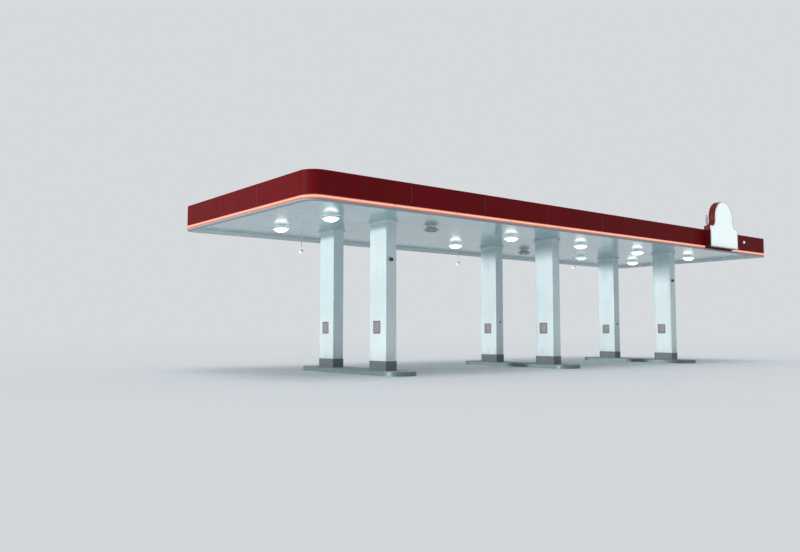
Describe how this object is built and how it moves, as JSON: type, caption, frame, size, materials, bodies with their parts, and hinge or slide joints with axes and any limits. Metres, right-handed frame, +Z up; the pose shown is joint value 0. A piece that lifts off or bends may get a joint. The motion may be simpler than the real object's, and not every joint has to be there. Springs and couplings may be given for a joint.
{
  "type": "filling station canopy",
  "caption": "Flat lit filling station canopy with rounded corners, boxed columns on kerbed islands, a red light band and a plain lit sign cabinet.",
  "frame": {"origin": "centre of the middle island's underside, at forecourt level", "axes": "+X along the canopy to the right seen from the front, +Y from the front to the back, +Z up"},
  "size_m": [23.98, 8.29, 6.64],
  "materials": {
    "concrete": "cast concrete, brushed and worn",
    "kerb_steel": "galvanised and scuffed",
    "frame_steel": "primer paint, matt",
    "channel_steel": "primer paint, matt",
    "column_sheet": "white coil paint, satin",
    "skirt_sheet": "grey coil paint, satin, scuffed",
    "deck_sheet": "white coil paint, glossy",
    "trim_sheet": "white coil paint, satin",
    "fascia_sheet": "deep red coil paint, satin",
    "rail_steel": "galvanised, dull",
    "band_lens": "lit red lens",
    "housing_sheet": "white powder coat",
    "lens_glass": "lit prismatic lens",
    "pendant_plastic": "white housing with a smoked dome",
    "cabinet_sheet": "white coil paint, satin",
    "sign_lens": "lit opal sheet",
    "stand_steel": "galvanised, dull",
    "lamp_glass": "lit opal glass"
  },
  "bodies": {
    "root": {"column_collars": "trim_sheet", "column_left_back": "column_sheet", "column_left_front": "column_sheet", "column_middle_back": "column_sheet", "column_middle_front": "column_sheet", "column_right_back": "column_sheet", "column_right_front": "column_sheet", "column_skirts": "skirt_sheet", "deck_left_bay": "deck_sheet", "deck_left_end": "deck_sheet", "deck_right_bay": "deck_sheet", "deck_right_end": "deck_sheet", "dome_pendants": "pendant_plastic", "edge_channels": "channel_steel", "fascia_back": "fascia_sheet", "fascia_corners": "fascia_sheet", "fascia_frame": "rail_steel", "fascia_front": "fascia_sheet", "fascia_lamp": "lamp_glass", "fascia_left": "fascia_sheet", "fascia_right": "fascia_sheet", "island_kerb_left": "kerb_steel", "island_kerb_middle": "kerb_steel", "island_kerb_right": "kerb_steel", "island_left": "concrete", "island_middle": "concrete", "island_right": "concrete", "light_band": "band_lens", "luminaire_housings": "housing_sheet", "luminaire_lenses": "lens_glass", "main_beam_left": "frame_steel", "main_beam_middle": "frame_steel", "main_beam_right": "frame_steel", "posts_left": "frame_steel", "posts_middle": "frame_steel", "posts_right": "frame_steel", "purlins_left_bay": "frame_steel", "purlins_left_end": "frame_steel", "purlins_right_bay": "frame_steel", "purlins_right_end": "frame_steel", "sign_cabinet": "cabinet_sheet", "sign_face": "sign_lens", "sign_stand": "stand_steel", "soffit_trim": "trim_sheet"}
  },
  "joints": []
}
